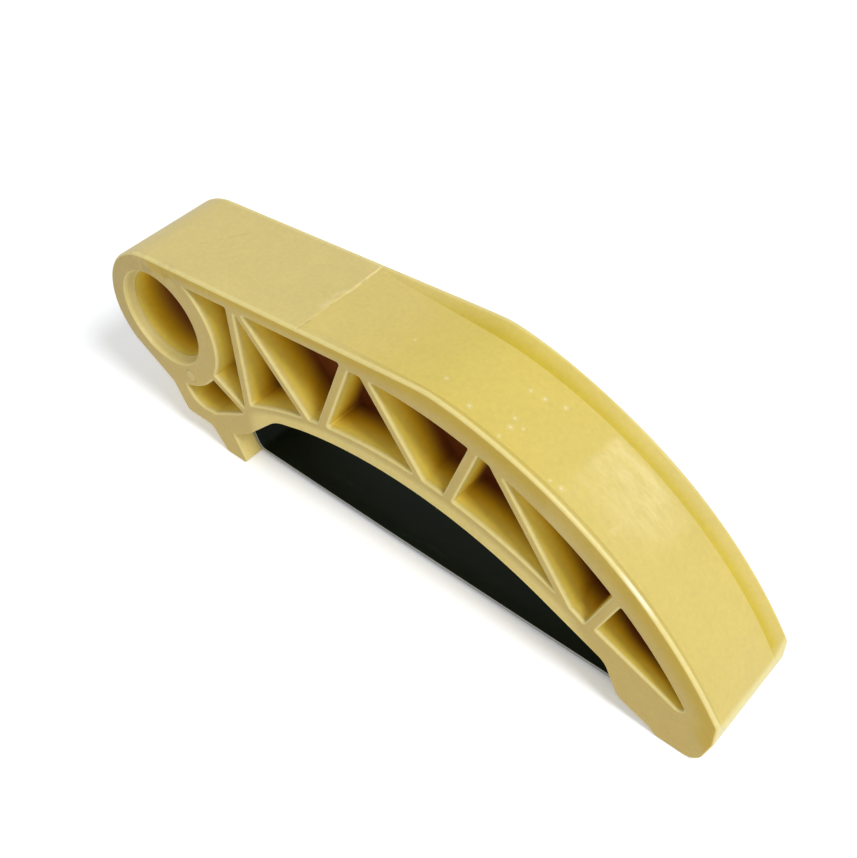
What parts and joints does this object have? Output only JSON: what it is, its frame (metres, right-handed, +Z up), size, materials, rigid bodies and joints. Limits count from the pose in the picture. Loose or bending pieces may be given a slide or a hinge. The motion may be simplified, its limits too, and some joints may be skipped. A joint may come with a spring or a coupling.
{
  "type": "timing chain guide",
  "caption": "Curved plastic arm that guides a timing chain, with a pivot bore, ribbed open pockets, lips along the running face and a flat steel spring leaf under its arch.",
  "frame": {"origin": "middle of the footprint, on the plane that the foot and the heel stand on", "axes": "+X along the guide from the pivot boss to the nose, +Y across its width along the bore's axis, +Z up towards the running face"},
  "size_m": [0.1056, 0.017, 0.0367],
  "materials": {
    "natural_nylon": "natural heat-stabilised nylon, honey yellow, satin moulded skin",
    "blued_spring_steel": "blued spring steel strip, near black, satin"
  },
  "bodies": {
    "root": {"guide_body": "natural_nylon", "leaf_spring": "blued_spring_steel"}
  },
  "joints": []
}
